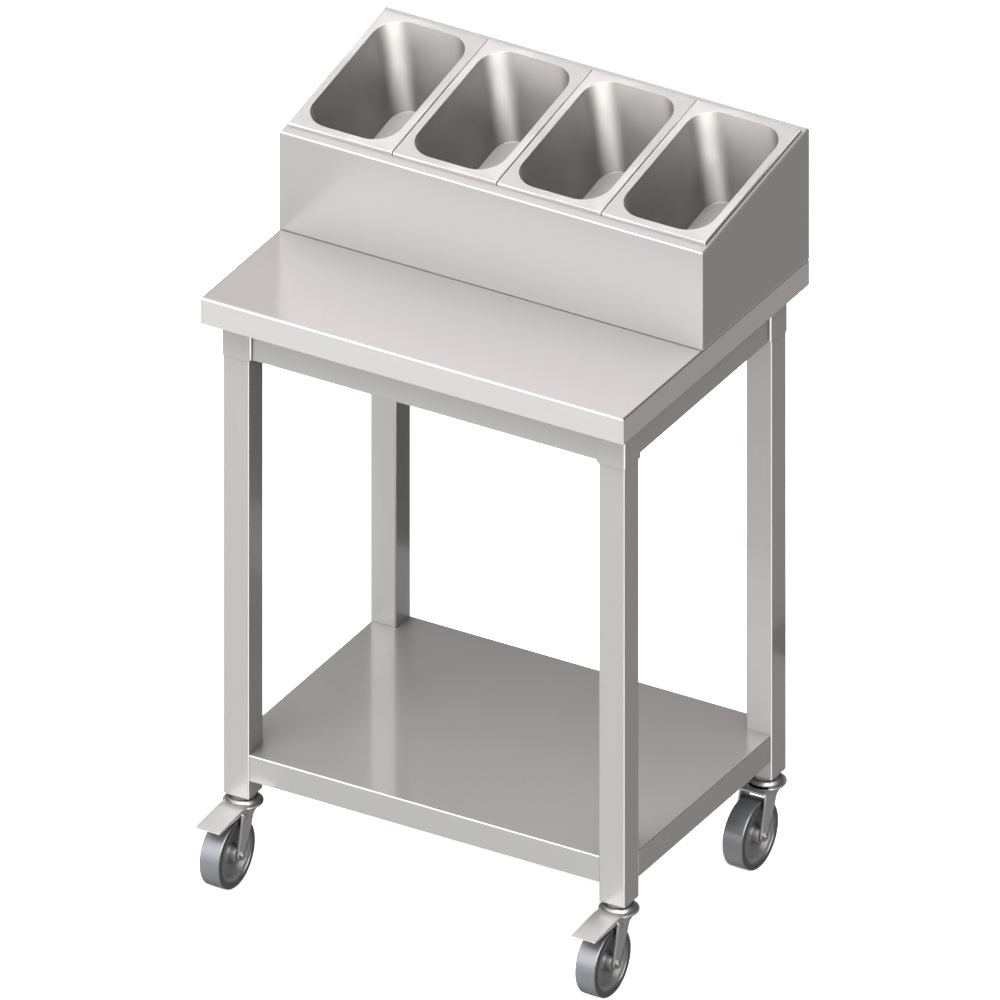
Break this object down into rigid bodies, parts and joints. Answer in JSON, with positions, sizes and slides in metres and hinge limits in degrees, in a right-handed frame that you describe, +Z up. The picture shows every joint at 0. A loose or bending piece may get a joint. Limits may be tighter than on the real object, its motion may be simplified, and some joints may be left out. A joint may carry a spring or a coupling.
{
  "type": "serving trolley",
  "caption": "Stainless serving trolley with a worktop, a sloping housing of lift-out food pans at the back, a lower shelf and swivel casters, the front ones braked.",
  "frame": {"origin": "on the floor at the middle of the footprint, which reaches from the pedals' front edges to the worktop's back edge", "axes": "+X to the right as seen from the front, +Y to the back, +Z up"},
  "size_m": [0.66, 0.547, 1.1163],
  "materials": {
    "worktop_steel": "satin",
    "frame_steel": "satin",
    "shelf_steel": "satin",
    "housing_steel": "satin",
    "pan_steel": "polished",
    "board": "matte",
    "screw_steel": "satin",
    "plug_plastic": "matte",
    "fork_steel": "zinc plated",
    "pedal_steel": "zinc plated",
    "wheel_core": "matte",
    "tyre_rubber": "matte"
  },
  "bodies": {
    "frame": {"worktop": "worktop_steel", "worktop_board": "board", "apron_front": "frame_steel", "apron_rear": "frame_steel", "apron_left": "frame_steel", "apron_right": "frame_steel", "apron_screws": "screw_steel", "socket_front_left": "frame_steel", "socket_front_right": "frame_steel", "socket_rear_left": "frame_steel", "socket_rear_right": "frame_steel", "leg_front_left": "frame_steel", "leg_front_right": "frame_steel", "leg_rear_left": "frame_steel", "leg_rear_right": "frame_steel", "shelf": "shelf_steel", "shelf_stiffener": "shelf_steel", "housing_front": "housing_steel", "housing_rear": "housing_steel", "housing_left": "housing_steel", "housing_right": "housing_steel", "pan_bars": "housing_steel", "plug_front_left": "plug_plastic", "plug_front_right": "plug_plastic", "plug_rear_left": "plug_plastic", "plug_rear_right": "plug_plastic", "swivel_bolt_front_left": "fork_steel", "swivel_bolt_front_right": "fork_steel", "swivel_bolt_rear_left": "fork_steel", "swivel_bolt_rear_right": "fork_steel"},
    "pan_1": {"pan_1": "pan_steel"},
    "pan_2": {"pan_2": "pan_steel"},
    "pan_3": {"pan_3": "pan_steel"},
    "pan_4": {"pan_4": "pan_steel"},
    "swivel_front_left": {"fork_front_left": "fork_steel", "axle_front_left": "screw_steel", "pedal_pin_front_left": "screw_steel"},
    "wheel_front_left": {"wheel_front_left": "wheel_core", "tyre_front_left": "tyre_rubber"},
    "pedal_front_left": {"pedal_front_left": "pedal_steel"},
    "swivel_front_right": {"fork_front_right": "fork_steel", "axle_front_right": "screw_steel", "pedal_pin_front_right": "screw_steel"},
    "wheel_front_right": {"wheel_front_right": "wheel_core", "tyre_front_right": "tyre_rubber"},
    "pedal_front_right": {"pedal_front_right": "pedal_steel"},
    "swivel_rear_left": {"fork_rear_left": "fork_steel", "axle_rear_left": "screw_steel"},
    "wheel_rear_left": {"wheel_rear_left": "wheel_core", "tyre_rear_left": "tyre_rubber"},
    "swivel_rear_right": {"fork_rear_right": "fork_steel", "axle_rear_right": "screw_steel"},
    "wheel_rear_right": {"wheel_rear_right": "wheel_core", "tyre_rear_right": "tyre_rubber"}
  },
  "joints": [
    {"name": "pan_1_lift", "type": "slide", "parent": "frame", "child": "pan_1", "axis": [0, -0.181, 0.9835], "range_m": [0, 0.18]},
    {"name": "pan_2_lift", "type": "slide", "parent": "frame", "child": "pan_2", "axis": [0, -0.181, 0.9835], "range_m": [0, 0.18]},
    {"name": "pan_3_lift", "type": "slide", "parent": "frame", "child": "pan_3", "axis": [0, -0.181, 0.9835], "range_m": [0, 0.18]},
    {"name": "pan_4_lift", "type": "slide", "parent": "frame", "child": "pan_4", "axis": [0, -0.181, 0.9835], "range_m": [0, 0.18]},
    {"name": "swivel_front_left", "type": "hinge", "parent": "frame", "child": "swivel_front_left", "pos_m": [-0.293, -0.1765, 0.11], "axis": [0, 0, 1], "continuous": true},
    {"name": "wheel_front_left_spin", "type": "hinge", "parent": "swivel_front_left", "child": "wheel_front_left", "pos_m": [-0.293, -0.2195, 0.05], "axis": [1, 0, 0], "continuous": true},
    {"name": "pedal_front_left_press", "type": "hinge", "parent": "swivel_front_left", "child": "pedal_front_left", "pos_m": [-0.293, -0.2065, 0.1035], "axis": [1, 0, 0], "range_deg": [0, 6.5]},
    {"name": "swivel_front_right", "type": "hinge", "parent": "frame", "child": "swivel_front_right", "pos_m": [0.293, -0.1765, 0.11], "axis": [0, 0, 1], "continuous": true},
    {"name": "wheel_front_right_spin", "type": "hinge", "parent": "swivel_front_right", "child": "wheel_front_right", "pos_m": [0.293, -0.2195, 0.05], "axis": [1, 0, 0], "continuous": true},
    {"name": "pedal_front_right_press", "type": "hinge", "parent": "swivel_front_right", "child": "pedal_front_right", "pos_m": [0.293, -0.2065, 0.1035], "axis": [1, 0, 0], "range_deg": [0, 6.5]},
    {"name": "swivel_rear_left", "type": "hinge", "parent": "frame", "child": "swivel_rear_left", "pos_m": [-0.293, 0.2215, 0.11], "axis": [0, 0, 1], "continuous": true},
    {"name": "wheel_rear_left_spin", "type": "hinge", "parent": "swivel_rear_left", "child": "wheel_rear_left", "pos_m": [-0.293, 0.1785, 0.05], "axis": [1, 0, 0], "continuous": true},
    {"name": "swivel_rear_right", "type": "hinge", "parent": "frame", "child": "swivel_rear_right", "pos_m": [0.293, 0.2215, 0.11], "axis": [0, 0, 1], "continuous": true},
    {"name": "wheel_rear_right_spin", "type": "hinge", "parent": "swivel_rear_right", "child": "wheel_rear_right", "pos_m": [0.293, 0.1785, 0.05], "axis": [1, 0, 0], "continuous": true}
  ]
}
